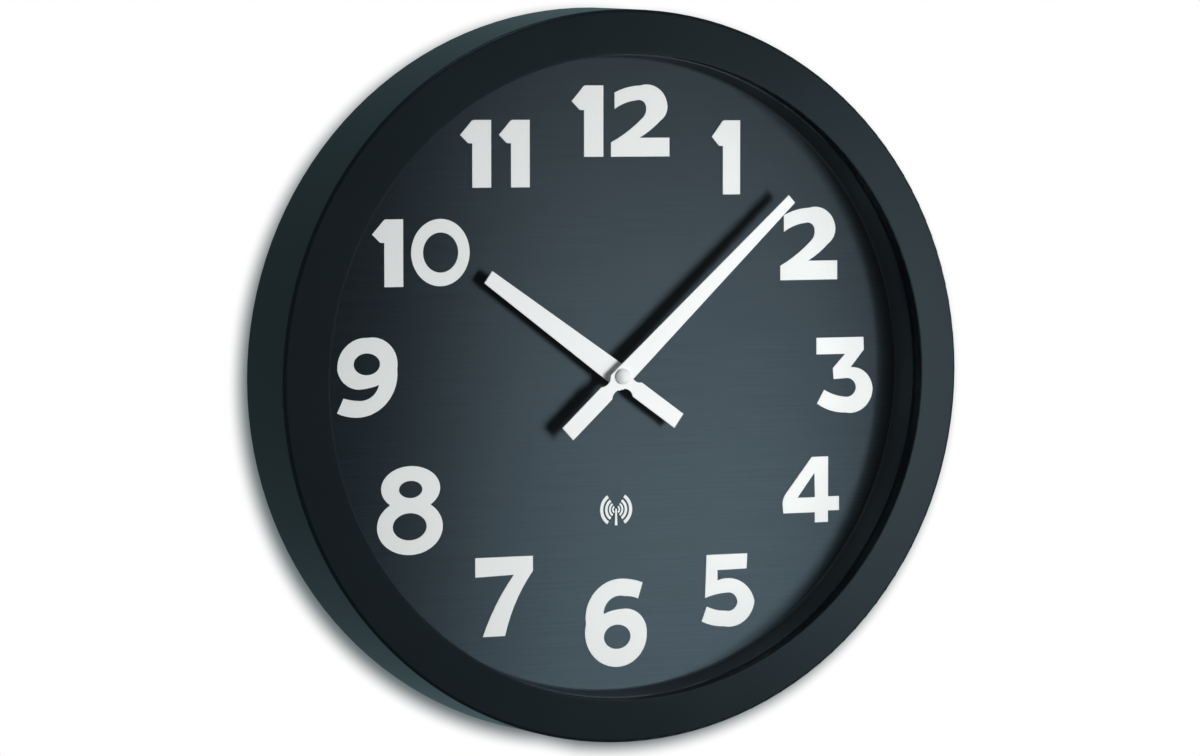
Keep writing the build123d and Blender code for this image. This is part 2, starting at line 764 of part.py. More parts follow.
def hanger_screws():
    sizes = (hanger_screw_radius, hanger_screw_length, hanger_head_radius, hanger_head_height)
    return Compound(children=[screw(place, hanger_back, *sizes) for place in hanger_screw_places])


def train_screws():
    sizes = (train_screw_radius, train_screw_length, train_head_radius, train_head_height)
    seats = [(place, bridge_back) for place in bridge_posts] + [(place, core_back) for place in coil_ends]
    return Compound(children=[screw(place, seat, *sizes) for place, seat in seats])


def movement_front_case():
    """Front shell of the movement: the gear chamber with its posts and bearings, and two ears."""
    past = movement_back + overrun
    wide = half_width + overrun
    tray_bottom = movement_bottom - overrun
    shell = slab(movement_outline(0), movement_back, movement_front)
    shell -= block(-wide, wide, tray_bottom, chamber_wall_bottom, past, movement_front - overrun)
    shell -= block(-inner_half_width, inner_half_width, chamber_bottom, inner_top, past, inner_front)
    shell -= block(-wide, wide, chamber_bottom, movement_rise + overrun, past, parting)
    shell -= contact_slots() + tray_tongues(press_gap)
    for side in (-1, 1):
        middle = half_width + ear_reach / 2 - weld / 2
        ear = Pos(side * middle, 0) * Rectangle(ear_reach + weld, ear_width)
        ear -= Pos(side * ear_hole, 0) * Circle(movement_screw_radius + screw_passage)
        shell += slab(ear, ear_back, ear_front)
    for place, seat in post_seats():
        shell += disc(place, post_radius, seat, inner_front - weld)
    for place, seat in pivot_seats():
        shell += disc(place, pivot_boss_radius, seat, inner_front - weld)
    shell += disc(motion_place, motion_post_radius, motion_back + axial_play / 2, inner_front - weld)
    for side in (-1, 1):
        shell += cradle(side)
    for place, seat in post_seats():
        shell -= disc(place, train_screw_radius + screw_fit, seat + overrun, seat - post_hole_depth)
    for place, seat in pivot_seats():
        shell -= disc(place, pivot_radius + running_gap, seat + overrun, seat - pivot_length - axial_play)
    shell -= disc(centre_place, bush_outer + press_gap, inner_front + overrun, movement_front - overrun)
    return shell


def contact_slots():
    """Slots beside the end walls, where the contacts pass from the battery into the gear chamber."""
    slots = Part()
    half_slot = contact_width / 2 + press_gap
    for side in (-1, 1):
        slot = inner_half_width - contact_thickness - press_gap
        left, right = sorted((side * slot, side * inner_half_width))
        slots += block(left, right, bay_top - weld, chamber_bottom + weld, contact_middle + half_slot,
                       contact_middle - half_slot)
    return slots


def tray_tongues(play):
    """Two tongues by which the battery tray hangs in the gear chamber's wall, or with play their slots."""
    tongues = Part()
    half_tongue = tongue_width / 2 + play
    front = inner_front + tongue_inset
    for side in (-1, 1):
        middle = side * tongue_offset
        tongues += block(middle - half_tongue, middle + half_tongue, tray_top - weld, chamber_bottom + play,
                         front + tongue_depth + play, front - play)
    return tongues


def battery_tray():
    """The open tray of the battery, below the gear chamber."""
    past = movement_back + overrun
    wide = half_width + overrun
    tray = slab(movement_outline(0), movement_back, movement_front)
    tray -= block(-wide, wide, tray_top, movement_rise + overrun, past, movement_front - overrun)
    tray -= block(-inner_half_width, inner_half_width, bay_bottom, bay_top, past, inner_front)
    return tray + tray_tongues(0) - contact_slots()


def post_seats():
    """Posts of the bridge, the coil and the circuit board, each with the depth of its top."""
    seats = [(place, bridge_front) for place in bridge_posts]
    seats += [(place, stator_front) for place in coil_ends]
    return seats + [(place, board_front) for place in board_posts]


def pivot_seats():
    """Front bearings of the third wheel and the rotor, each with the depth of its top."""
    return [(third_place, third_pinion_front - axial_play), (rotor_place, rotor_front - axial_play)]


def cradle(side):
    """A saddle under one end of the aerial rod."""
    outer = side * (antenna_half_length - cradle_inset)
    inner = outer - side * cradle_width
    left, right = sorted((inner, outer))
    saddle = block(left, right, antenna_rise - antenna_radius, antenna_rise + antenna_radius,
                   antenna_middle - antenna_radius + cradle_grip, inner_front - weld)
    groove_radius = antenna_radius + press_gap
    return saddle - rod_across(groove_radius, left - overrun, right + overrun, antenna_middle, antenna_rise)


def movement_rear_lid():
    """Lid over the gear chamber, with three holes for the buttons."""
    wide = half_width + overrun
    bottom = chamber_bottom + lid_clearance
    past = parting - overrun
    lid = slab(movement_outline(0), movement_back, parting)
    lid -= block(-wide, wide, movement_bottom - overrun, bottom, movement_back + overrun, past)
    lid -= block(-inner_half_width, inner_half_width, bottom + movement_wall, inner_top, lid_inner, past)
    for place in button_places:
        lid -= disc(place, button_radius + button_clearance, movement_back + overrun, lid_inner - overrun)
    return lid


def button(place):
    """A push button: a round cap, a flange behind the lid and a stem above its switch."""
    flange_front = lid_inner - button_flange_thickness
    stem_end = board_back + dome_thickness + button_stop_gap + button_travel
    cap = disc(place, button_radius, movement_back + button_proud, lid_inner - weld)
    cap = fillet(cap.edges().filter_by(GeomType.CIRCLE).group_by(Axis.Y)[-1], button_proud / 2)
    cap += disc(place, button_radius + button_flange, lid_inner, flange_front)
    return cap + disc(place, button_stem_radius, flange_front + weld, stem_end)


def centre_bush():
    return tube(centre_place, bush_outer, bush_inner, inner_front, dial_front - bush_rise)


def gear_face(teeth, module, phase):
    """A spur gear seen from the front, with one tooth centred on the angle phase.

    The flanks follow the involute of the pressure angle, thinned for play, and are radial below
    its base circle.
    """
    pitch = module * teeth / 2
    base = pitch * cos(radians(pressure_angle))
    half = pi / (2 * teeth) * (1 - tooth_thinning_share)

    def involute(radius):
        angle = acos(min(base / radius, 1.0))
        return tan(angle) - angle

    profile = []
    for radius in (pitch - dedendum_share * module, pitch, pitch + addendum_share * module):
        profile.append((radius, half + involute(pitch) - involute(radius)))
    flanks = [(radius, -angle) for radius, angle in profile] + profile[::-1]
    points = []
    for tooth in range(teeth):
        middle = radians(phase) + 2 * pi * tooth / teeth
        points += [(radius * cos(middle + angle), radius * sin(middle + angle)) for radius, angle in flanks]
    return polygon(points)


def meshed(phase, teeth, mate_teeth, direction):
    """The phase at which a mate at the given direction has a gap where this gear has a tooth."""
    return direction + 180 + (direction - phase) * teeth / mate_teeth + 180 / mate_teeth


cannon_phase = 0.0
centre_phase = 0.0
motion_phase = meshed(cannon_phase, cannon_teeth, motion_teeth, motion_angle)
motion_pinion_phase = 0.0
hour_phase = meshed(motion_pinion_phase, motion_pinion_teeth, hour_teeth, motion_angle + 180)
third_pinion_phase = meshed(centre_phase, centre_teeth, third_pinion_teeth, third_angle)
third_phase = 0.0
rotor_phase = meshed(third_phase, third_teeth, rotor_teeth, rotor_angle)


def gear(place, teeth, module, phase, back, front):
    return slab(Pos(*place) * gear_face(teeth, module, phase), back, front)


def rear_pivot(place, start):
    """A wheel's arbor behind it, ending in a pivot that runs in the bridge."""
    shoulder = bridge_front - axial_play
    arbor = disc(place, wheel_arbor_radius, shoulder, start)
    return arbor + disc(place, pivot_radius, bridge_front + pivot_length, shoulder - weld)


def front_pivot(place, seat):
    """A pivot in front of a pinion, running in its boss."""
    return disc(place, pivot_radius, seat + axial_play + weld, seat - pivot_length)


def centre_wheel():
    """The minute wheel on its long arbor, with the cannon pinion in front of it."""
    shoulder = dial_front - minute_hand_height + hand_thickness + minute_collet_length
    tip = dial_front - minute_hand_height - arbor_tip_rise
    wheel = gear(centre_place, centre_teeth, centre_module, centre_phase, centre_back, centre_front)
    wheel += gear(centre_place, cannon_teeth, motion_module, cannon_phase, centre_front + weld, cannon_front)
    wheel += disc(centre_place, arbor_radius, cannon_front + weld, shoulder)
    wheel += disc(centre_place, arbor_tip_radius, shoulder + weld, tip)
    return wheel + rear_pivot(centre_place, centre_back - weld)


def hour_wheel():
    """The hour wheel with the pipe that carries the hour hand around the minute arbor."""
    end = dial_front - hour_hand_height - pipe_rise
    wheel = gear(centre_place, hour_teeth, hour_module, hour_phase, hour_wheel_back, hour_wheel_front)
    wheel += disc(centre_place, pipe_outer, hour_wheel_front + weld, end)
    return wheel - disc(centre_place, pipe_inner, hour_wheel_back + overrun, end - overrun)


def motion_wheel():
    """The wheel and pinion between the cannon pinion and the hour wheel, on a fixed post."""
    wheel = gear(motion_place, motion_teeth, motion_module, motion_phase, motion_back, motion_front)
    wheel += gear(motion_place, motion_pinion_teeth, hour_module, motion_pinion_phase, motion_front + weld,
                  hour_wheel_front)
    hole = motion_post_radius + running_gap
    return wheel - disc(motion_place, hole, motion_back + overrun, hour_wheel_front - overrun)


def third_wheel():
    wheel = gear(third_place, third_teeth, third_module, third_phase, third_back, third_front)
    wheel += gear(third_place, third_pinion_teeth, centre_module, third_pinion_phase, third_front + weld,
                  third_pinion_front)
    wheel += front_pivot(third_place, third_pinion_front - axial_play)
    return wheel + rear_pivot(third_place, third_back - weld)


def rotor_pinion():
    pinion = gear(rotor_place, rotor_teeth, third_module, rotor_phase, rotor_pinion_back, rotor_front)
    pinion += front_pivot(rotor_place, rotor_front - axial_play)
    return pinion + rear_pivot(rotor_place, rotor_pinion_back - weld)


def rotor_magnet():
    return tube(rotor_place, magnet_radius, wheel_arbor_radius + press_gap, magnet_back, magnet_front)


def stator():
    """Soft iron plate around the magnet, with two legs down to the coil."""
    face = Pos(*rotor_place) * Circle(stator_radius)
    for end in coil_ends:
        knee = (end[0], end[1] + stator_knee)
        face += strip(rotor_place, knee, stator_leg_width) + strip(knee, end, stator_leg_width)
        face -= Pos(*end) * Circle(train_screw_radius + screw_passage)
    return slab(face - Pos(*rotor_place) * Circle(stator_hole), stator_back, stator_front)


def coil_core():
    face = strip(*coil_ends, core_width)
    for end in coil_ends:
        face -= Pos(*end) * Circle(train_screw_radius + screw_passage)
    return slab(face, core_back, stator_back)


def coil_bobbin():
    """A flanged spool around the core."""
    spool = rod_across(bobbin_tube_radius, bobbin_left, bobbin_right, core_middle, -coil_drop)
    for start in (bobbin_left, bobbin_right - bobbin_flange):
        spool += rod_across(bobbin_flange_radius, start, start + bobbin_flange, core_middle, -coil_drop)
    half = core_width / 2 + bobbin_clearance
    return spool - block(bobbin_left - overrun, bobbin_right + overrun, -coil_drop - half, -coil_drop + half,
                         core_back + bobbin_clearance, stator_back - bobbin_clearance)


def coil_winding():
    ends = (bobbin_left + bobbin_flange + press_gap, bobbin_right - bobbin_flange - press_gap)
    winding = rod_across(winding_radius, *ends, core_middle, -coil_drop)
    past = (ends[0] - overrun, ends[1] + overrun)
    return winding - rod_across(bobbin_tube_radius + press_gap, *past, core_middle, -coil_drop)


def train_bridge():
    """Plate on three posts with the rear bearings of the train."""
    face = offset(polygon([upper_post, rotor_post, rotor_place, lower_post]), amount=bridge_margin)
    for place in bridge_posts:
        face -= Pos(*place) * Circle(train_screw_radius + screw_passage)
    for place in (centre_place, third_place, rotor_place):
        face -= Pos(*place) * Circle(pivot_radius + running_gap)
    return slab(face, bridge_back, bridge_front)


def circuit_board():
    return block(board_left, board_right, board_bottom, board_top, board_back, board_front)


def on_board(shares):
    """A place on the board, from shares of its width and height."""
    return (board_left + shares[0] * board_width, board_bottom + shares[1] * board_height)


def clock_chip():
    face = Pos(*on_board(chip_place_shares)) * Rectangle(chip_size, chip_size)
    return slab(face, board_front, board_front - chip_thickness)


def quartz_crystal():
    """A small metal can lying on the board."""
    x, z = on_board(crystal_place_shares)
    return rod_across(crystal_radius, x - crystal_length / 2, x + crystal_length / 2,
                      board_front - crystal_radius - press_gap, z)


def switch_domes():
    return Compound(children=[disc(place, dome_radius, board_back + dome_thickness, board_back)
                              for place in button_places])


def antenna_rod():
    return rod_across(antenna_radius, -antenna_half_length, antenna_half_length, antenna_middle, antenna_rise)


def antenna_coil():
    line = (antenna_middle, antenna_rise)
    coil = rod_across(antenna_coil_radius, antenna_coil_left, antenna_coil_right, *line)
    past = (antenna_coil_left - overrun, antenna_coil_right + overrun)
    return coil - rod_across(antenna_radius + press_gap, *past, *line)


def contact_plate(side):
    """The flat strip of a battery contact, from the bay's end wall up into the gear chamber."""
    left, right = sorted((side * (inner_half_width - contact_thickness), side * inner_half_width))
    return block(left, right, bay_bottom + contact_margin, chamber_bottom + contact_thickness,
                 contact_middle + contact_width / 2, contact_middle - contact_width / 2)


def contact_positive():
    """Plate at the battery's nub, with a rail along the bay's upper wall to the board."""
    half_rail = contact_rail_width / 2
    rail = block(board_right - contact_rail_width, inner_half_width, chamber_bottom,
                 chamber_bottom + contact_thickness, contact_middle + half_rail, contact_middle - half_rail)
    return contact_plate(1) + rail


def contact_negative():
    """Plate with a bowed leaf that presses on the battery's flat end."""
    root = -inner_half_width + contact_thickness - leaf_thickness / 2
    low = contact_middle - leaf_span / 2
    high = contact_middle + leaf_span / 2
    front = root + leaf_thickness
    bow = root + leaf_bow
    outer = ThreePointArc((front, low), (bow, contact_middle), (front, high))
    inner = ThreePointArc((root, high), (bow - leaf_thickness, contact_middle), (root, low))
    face = make_face([outer, Line((front, high), (root, high)), inner, Line((root, low), (front, low))])
    leaf_bottom = battery_height - leaf_width / 2
    return contact_plate(-1) + extrude(Plane.XY.offset(leaf_bottom) * face, amount=leaf_width)


def battery():
    """A cylindrical cell along X with its nub to the right."""
    shoulder = battery_tip - battery_nub
    cell = rod_across(battery_radius, shoulder - battery_body, shoulder, contact_middle, battery_height)
    cell = fillet(cell.edges().filter_by(GeomType.CIRCLE), battery_round)
    return cell + rod_across(battery_nub_radius, shoulder - weld, battery_tip, contact_middle, battery_height)


nodes = {
    "case_frame": case_frame,
    "glass_lens": glass_lens,
    "spacer_ring": spacer_ring,
    "dial_plate": dial_plate,
    "hour_numerals": hour_numerals,
    "radio_symbol": radio_symbol,
    "hour_hand": hour_hand,
    "minute_hand": minute_hand,
    "hand_cap": hand_cap,
    "dial_carrier": dial_carrier,
    "rear_cover": rear_cover,
    "hanger_plate": hanger_plate,
    "hanger_screws": hanger_screws,
    "cover_screws": cover_screws,
    "movement_screws": movement_screws,
    "train_screws": train_screws,
    "movement_front_case": movement_front_case,
    "movement_rear_lid": movement_rear_lid,
    "battery_tray": battery_tray,
    "centre_bush": centre_bush,
    "centre_wheel": centre_wheel,
    "hour_wheel": hour_wheel,
    "motion_wheel": motion_wheel,
    "third_wheel": third_wheel,
    "rotor_pinion": rotor_pinion,
    "rotor_magnet": rotor_magnet,
    "stator": stator,
    "coil_core": coil_core,
    "coil_bobbin": coil_bobbin,
    "coil_winding": coil_winding,
    "train_bridge": train_bridge,
    "circuit_board": circuit_board,
    "clock_chip": clock_chip,
    "quartz_crystal": quartz_crystal,
    "switch_domes": switch_domes,
    "antenna_rod": antenna_rod,
    "antenna_coil": antenna_coil,
    "contact_positive": contact_positive,
    "contact_negative": contact_negative,
    "battery": battery,
    "set_button": lambda: button(button_places[0]),
    "receive_button": lambda: button(button_places[1]),
    "reset_button": lambda: button(button_places[2]),
}

os.makedirs("parts", exist_ok=True)
for name, make in nodes.items():
    export_step(make(), f"parts/{name}.step")
print(f"depth {-crest:.2f}, dial face at {-dial_front:.2f} from the wall, glass back at {-glass_back:.2f}")
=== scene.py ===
# %% [markdown]
# # Dressing a wall clock
# A wall clock hangs on a white wall: a dark moulded case, flat glass, a brushed dial with white
# figures, two white hands, and a small quartz movement behind. All of its true shapes come from a fixed
# frame that is loaded first. This lesson gives each piece the surface of its real material, winds the
# wire that is too fine for the frame, makes the cell in the back look like a cell, and lights the clock
# as a small studio would.

import bpy
import numpy as np
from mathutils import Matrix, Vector


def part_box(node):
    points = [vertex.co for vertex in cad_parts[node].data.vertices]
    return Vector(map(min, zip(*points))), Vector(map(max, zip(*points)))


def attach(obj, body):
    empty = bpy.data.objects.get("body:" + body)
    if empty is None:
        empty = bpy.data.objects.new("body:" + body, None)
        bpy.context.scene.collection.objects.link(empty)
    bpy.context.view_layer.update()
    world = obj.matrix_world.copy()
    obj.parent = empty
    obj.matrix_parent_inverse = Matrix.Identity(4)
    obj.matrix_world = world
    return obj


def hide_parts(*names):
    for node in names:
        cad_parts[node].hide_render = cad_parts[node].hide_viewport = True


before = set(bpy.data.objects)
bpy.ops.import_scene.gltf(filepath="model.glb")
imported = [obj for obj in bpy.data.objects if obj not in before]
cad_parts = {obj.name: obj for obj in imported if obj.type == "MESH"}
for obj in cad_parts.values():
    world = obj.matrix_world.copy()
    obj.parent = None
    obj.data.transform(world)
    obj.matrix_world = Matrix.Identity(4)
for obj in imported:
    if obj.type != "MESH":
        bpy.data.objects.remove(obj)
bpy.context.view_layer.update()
MM = 0.001

# %% [markdown]
# ## The camera
# The clock is seen from a little to the left and from far away, so its circle is only slightly narrowed
# and the left side wall shows. A long lens does that. The clock's own frame has X to the right, Z up
# and the wall at Y = 0, with the dial facing minus Y, so the camera stands at a negative Y.

# %% Place the camera
camera = bpy.data.objects.new("camera", bpy.data.cameras.new("camera"))
camera.data.lens = 133.67
camera.data.sensor_width = 36.0
camera.location = (-0.7290, -1.6847, 0.1111)
looks_at = Vector((-0.01324, -0.0395, 0.0001))
camera.rotation_euler = (looks_at - camera.location).to_track_quat("-Z", "Y").to_euler()
bpy.context.collection.objects.link(camera)
bpy.context.scene.camera = camera
print(f"camera {(looks_at - camera.location).length:.2f} m away")

# %% [markdown]
# ## Nodes and colours
# Two small helpers serve every material. Screens show colours as sRGB, but light adds up in linear
# numbers, so a hex colour is turned to linear once. A shader tree is a list of nodes with values and
# links, and one function that adds a node, sets its properties and fills its sockets keeps each
# material short.

# %% Helpers for materials
def linear(hex_colour):
    """An sRGB hex colour as linear RGBA: c becomes c/12.92 in the toe, else ((c + 0.055)/1.055)^2.4."""
    parts = np.array([int(hex_colour[i:i + 2], 16) for i in (1, 3, 5)]) / 255
    toe = parts <= 0.04045
    return (*np.where(toe, parts / 12.92, ((parts + 0.055) / 1.055) ** 2.4), 1.0)


def add(tree, kind, inputs=None, **settings):
    """Add one node: settings are its own properties, inputs gives each socket a value or an output."""
    node = tree.nodes.new("ShaderNode" + kind)
    for name, value in settings.items():
        setattr(node, name, value)
    for name, value in (inputs or {}).items():
        if isinstance(value, bpy.types.NodeSocket):
            tree.links.new(value, node.inputs[name])
        else:
            node.inputs[name].default_value = value
    return node


# %% [markdown]
# ## The wall
# The clock hangs on a plain white wall. In a photograph such a wall is simply white, apart from the
# soft shadow beside the case. A lamp strong enough to make the wall white would bleach the dial, so the
# wall shows its own white, and its shadow is worked out: the shadow of a thick disc is a circle drawn
# out from the shadow of its back edge to that of its front edge, and the shade fades with the distance
# from that outline. Behind the clock the wall has a hole, and from behind it is clear, so that the back
# can be looked at and lit as well.

# %% Build the wall
WALL_RADIUS = 4.0
HOLE_RADIUS = 149 * MM
WALL_GAP = 0.4 * MM
# The back edge's shadow lies at START, and the front edge's lies RUN further on, larger by GROWTH.
SHADOW_START = Vector((-2.7, 0.0, -2.7)) * MM
SHADOW_RUN = Vector((17.4, 0.0, -2.4)) * MM
SHADOW_RADIUS = 150 * MM
SHADOW_GROWTH = 2 * MM
SHADOW_FADE = (-4.0 * MM, 5.8 * MM)
SHADOW_COLOUR = "#6d7779"
# What the polished side of the case mirrors is the part of the wall that lies in its shade.
MIRRORED_WALL = "#566b70"
WALL_STEPS = 96

angle = np.linspace(0, 2 * np.pi, WALL_STEPS, endpoint=False)
rings = [np.column_stack([r * np.cos(angle), np.full(WALL_STEPS, WALL_GAP), r * np.sin(angle)])
         for r in (HOLE_RADIUS, WALL_RADIUS)]
index = np.arange(WALL_STEPS)
after = np.roll(index, -1)
wall_mesh = bpy.data.meshes.new("wall")
wall_faces = np.column_stack([index, index + WALL_STEPS, after + WALL_STEPS, after])
wall_mesh.from_pydata(np.vstack(rings).tolist(), [], wall_faces.tolist())
wall = bpy.data.objects.new("wall", wall_mesh)
bpy.context.collection.objects.link(wall)

wall_paint = bpy.data.materials.new("matt_wall_paint")
wall_paint.use_nodes = True
tree = wall_paint.node_tree
tree.nodes.clear()
ray = add(tree, "LightPath").outputs
side = add(tree, "NewGeometry").outputs
mirrored = add(tree, "Math", {0: ray["Is Glossy Ray"], 1: ray["Is Transmission Ray"]},
               operation="MAXIMUM")
seen = add(tree, "Math", {0: ray["Is Camera Ray"], 1: mirrored.outputs[0]}, operation="MAXIMUM")
front = add(tree, "Math", {0: seen.outputs[0], 1: side["Backfacing"]},
            operation="SUBTRACT", use_clamp=True)
place = add(tree, "TexCoord").outputs["Object"]
flat = add(tree, "VectorMath", {0: place, 1: (1.0, 0.0, 1.0), 2: -SHADOW_START},
           operation="MULTIPLY_ADD")
forward = add(tree, "VectorMath", {0: flat.outputs[0], 1: SHADOW_RUN}, operation="DOT_PRODUCT")
share = add(tree, "Math", {0: forward.outputs["Value"], 1: 1 / SHADOW_RUN.length_squared},
            operation="MULTIPLY", use_clamp=True)
nearest = add(tree, "VectorMath", {0: SHADOW_RUN, "Scale": share.outputs[0]}, operation="SCALE")
apart = add(tree, "VectorMath", {0: flat.outputs[0], 1: nearest.outputs[0]}, operation="DISTANCE")
radius = add(tree, "Math", {0: share.outputs[0], 1: SHADOW_GROWTH, 2: SHADOW_RADIUS},
             operation="MULTIPLY_ADD")
beyond = add(tree, "Math", {0: apart.outputs["Value"], 1: radius.outputs[0]}, operation="SUBTRACT")
fade = add(tree, "MapRange", {0: beyond.outputs[0], 1: SHADOW_FADE[0], 2: SHADOW_FADE[1]},
           interpolation_type="SMOOTHSTEP")
shade = add(tree, "Mix", {0: fade.outputs[0], 6: linear(SHADOW_COLOUR), 7: linear("#ffffff")},
            data_type="RGBA")
shown = add(tree, "Mix", {0: ray["Is Camera Ray"], 6: linear(MIRRORED_WALL), 7: shade.outputs[2]},
            data_type="RGBA")
white = add(tree, "Emission", {"Color": shown.outputs[2], "Strength": 1.0})
clear = add(tree, "BsdfTransparent")
paint = add(tree, "MixShader", {0: front.outputs[0], 1: clear.outputs[0], 2: white.outputs[0]})
add(tree, "OutputMaterial", {"Surface": paint.outputs[0]})
wall_mesh.materials.append(wall_paint)
print(f"wall normal {tuple(round(v, 2) for v in wall_mesh.polygons[0].normal)}")

# %% [markdown]
# ## The room and its lamps
# The figures are a little greyer on the left, the hands throw short soft shadows to the left, and the
# rim shades the dial on the right. So one softbox stands close, to the right and in front. A tall strip
# far to the right gives that side of the bezel its soft shine, and a lamp overhead shows from the side
# that the wall of the case is round. The rest of the room is dim, or its mirror image would lie as a
# grey haze over the dark plastic, and only a grey card on either side is there for the side wall to
# mirror. A lamp behind serves only the views of the back.

# %% Light the room
ROOM_GLOW = 0.09
CARD_GLOW = 0.3
CARD_TURN = (0.55, 0.95)
ROOM_COLOUR = "#eef4ff"

room = bpy.data.worlds.new("studio")
bpy.context.scene.world = room
room.use_nodes = True
tree = room.node_tree
tree.nodes.clear()
ray = add(tree, "LightPath").outputs
towards = add(tree, "SeparateXYZ", {0: add(tree, "TexCoord").outputs["Generated"]}).outputs
behind = add(tree, "Math", {0: towards["Y"], 1: 0.0}, operation="GREATER_THAN")
mirrored = add(tree, "Math", {0: ray["Is Glossy Ray"], 1: ray["Is Transmission Ray"]},
               operation="MAXIMUM")
backdrop = add(tree, "Math", {0: mirrored.outputs[0], 1: behind.outputs[0]}, operation="MULTIPLY")
seen = add(tree, "Math", {0: ray["Is Camera Ray"], 1: backdrop.outputs[0]}, operation="MAXIMUM")
aside = add(tree, "Math", {0: towards["X"]}, operation="ABSOLUTE")
level = add(tree, "MapRange", {0: aside.outputs[0], 1: CARD_TURN[0], 2: CARD_TURN[1],
                               3: ROOM_GLOW, 4: CARD_GLOW})
dim = add(tree, "Background", {"Color": linear(ROOM_COLOUR), "Strength": level.outputs[0]})
white = add(tree, "Background", {"Color": linear("#ffffff"), "Strength": 1.0})
glow = add(tree, "MixShader", {0: seen.outputs[0], 1: dim.outputs[0], 2: white.outputs[0]})
add(tree, "OutputWorld", {"Surface": glow.outputs[0]})


def softbox(name, place, aim, width, height, watts):
    """An oblong lamp of a given width and height that faces the point aim."""
    lamp = bpy.data.objects.new(name, bpy.data.lights.new(name, "AREA"))
    lamp.data.shape = "RECTANGLE"
    lamp.data.size = width
    lamp.data.size_y = height
    lamp.data.energy = watts
    lamp.location = place
    lamp.rotation_euler = (Vector(aim) - lamp.location).to_track_quat("-Z", "Y").to_euler()
    bpy.context.collection.objects.link(lamp)
    print(f"{name}: {watts} W, {(Vector(aim) - lamp.location).length:.2f} m from its aim")


softbox("softbox_right", place=(0.275, -0.57, -0.03), aim=(0.0, -0.03, 0.0),
        width=0.22, height=0.22, watts=3.4)
softbox("strip_far_right", place=(1.20, -0.90, -0.10), aim=(0.0, -0.03, 0.0),
        width=0.25, height=1.2, watts=3.2)
softbox("lamp_overhead", place=(-0.20, -0.10, 1.60), aim=(0.0, -0.02, 0.0),
        width=1.4, height=0.5, watts=5.0)
softbox("lamp_behind", place=(1.00, 1.05, 0.40), aim=(0.0, 0.0, 0.0),
        width=0.8, height=0.8, watts=15.0)
bpy.context.scene.view_settings.view_transform = "Standard"

# %% [markdown]
# ## Starting a material, and putting it on a piece
# Every finish begins the same way: one surface shader, and the piece's own coordinates. The pieces sit
# at the origin, so Object coordinates are metres on the real clock, and the scale of a pattern is one
# over its size.

# %% Begin a finish, and dress a piece
def begin(name):
    """An empty material with a surface shader wired to its output, and the place on the piece in metres."""
    material = bpy.data.materials.new(name)
    material.use_nodes = True
    tree = material.node_tree
    tree.nodes.clear()
    shader = add(tree, "BsdfPrincipled")
    add(tree, "OutputMaterial", {"Surface": shader.outputs["BSDF"]})
    return material, tree, shader, add(tree, "TexCoord").outputs["Object"]


def vary(tree, shader, amount, colours, roughness):
    """Let a pattern from 0 to 1 move the colour between two hex values, and the roughness likewise."""
    shade = add(tree, "Mix", {0: amount, 6: linear(colours[0]), 7: linear(colours[1])}, data_type="RGBA")
    rough = add(tree, "MapRange", {0: amount, 3: roughness[0], 4: roughness[1]})
    tree.links.new(shade.outputs[2], shader.inputs["Base Color"])
    tree.links.new(rough.outputs[0], shader.inputs["Roughness"])


def raise_relief(tree, shader, height, depth):
    """Let a pattern from 0 to 1 lift the surface by a depth in metres, as bump."""
    relief = add(tree, "Bump", {"Height": height, "Distance": depth, "Strength": 1.0})
    tree.links.new(relief.outputs[0], shader.inputs["Normal"])


def dress(material, *names):
    """Put a finish on every material slot of the named pieces of the frame."""
    for name in names:
        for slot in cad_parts[name].material_slots:
            slot.material = material
    print(f"{material.name}: {', '.join(names)}")


# %% [markdown]
# ## Moulded plastic
# The case, the ring round the dial, the back and the movement's shells are injection moulded. The steel
# mould was etched to a fine grain, and the plastic copies it, so the surface is satin rather than
# glossy. Two patterns make that: a slow cloud for the uneven shine that a large moulding always has,
# and a fine grain as bump.

# %% Moulded plastics
CLOUD = 45 * MM


def moulded(name, colours, roughness, grain, relief, gloss=0.5, sheen="#ffffff"):
    """Plastic with a wide cloud in colour and shine, and an etched grain of a given size and depth."""
    material, tree, shader, place = begin(name)
    cloud = add(tree, "TexNoise", {"Vector": place, "Scale": 1 / CLOUD, "Detail": 3.0})
    vary(tree, shader, cloud.outputs["Fac"], colours, roughness)
    etch = add(tree, "TexNoise", {"Vector": place, "Scale": 1 / grain, "Detail": 2.0})
    raise_relief(tree, shader, etch.outputs["Fac"], relief)
    shader.inputs["IOR"].default_value = 1.53
    shader.inputs["Specular IOR Level"].default_value = gloss
    shader.inputs["Specular Tint"].default_value = linear(sheen)
    return material


# ABS from a mould that was polished on the side wall, etched on the bezel and left coarse at its inner
# edge: deep blue-green black, with a clear shine round the side, a soft even one in front and hardly
# any at the edge.
POLISHED = 0.15
COARSE = 0.75
BEZEL_FACING = (-0.3, -0.9)
INNER_EDGE = (131.4 * MM, 131.0 * MM)
SHEEN = "#cdf2ff"
case_finish = moulded("abs_satin_moulded", ("#0b1012", "#0f1518"), (0.40, 0.46),
                      grain=0.8 * MM, relief=0.012 * MM, gloss=0.3, sheen=SHEEN)
tree = case_finish.node_tree
shader = tree.nodes["Principled BSDF"]
etched = shader.inputs["Roughness"].links[0].from_socket
place = tree.nodes["Texture Coordinate"].outputs["Object"]
facing = add(tree, "SeparateXYZ", {0: add(tree, "NewGeometry").outputs["True Normal"]}).outputs["Y"]
bezel = add(tree, "MapRange", {0: facing, 1: BEZEL_FACING[0], 2: BEZEL_FACING[1], 3: 0.0, 4: 1.0})
polished = add(tree, "Mix", {0: bezel.outputs[0], 2: POLISHED, 3: etched})
flat = add(tree, "VectorMath", {0: place, 1: (1.0, 0.0, 1.0)}, operation="MULTIPLY")
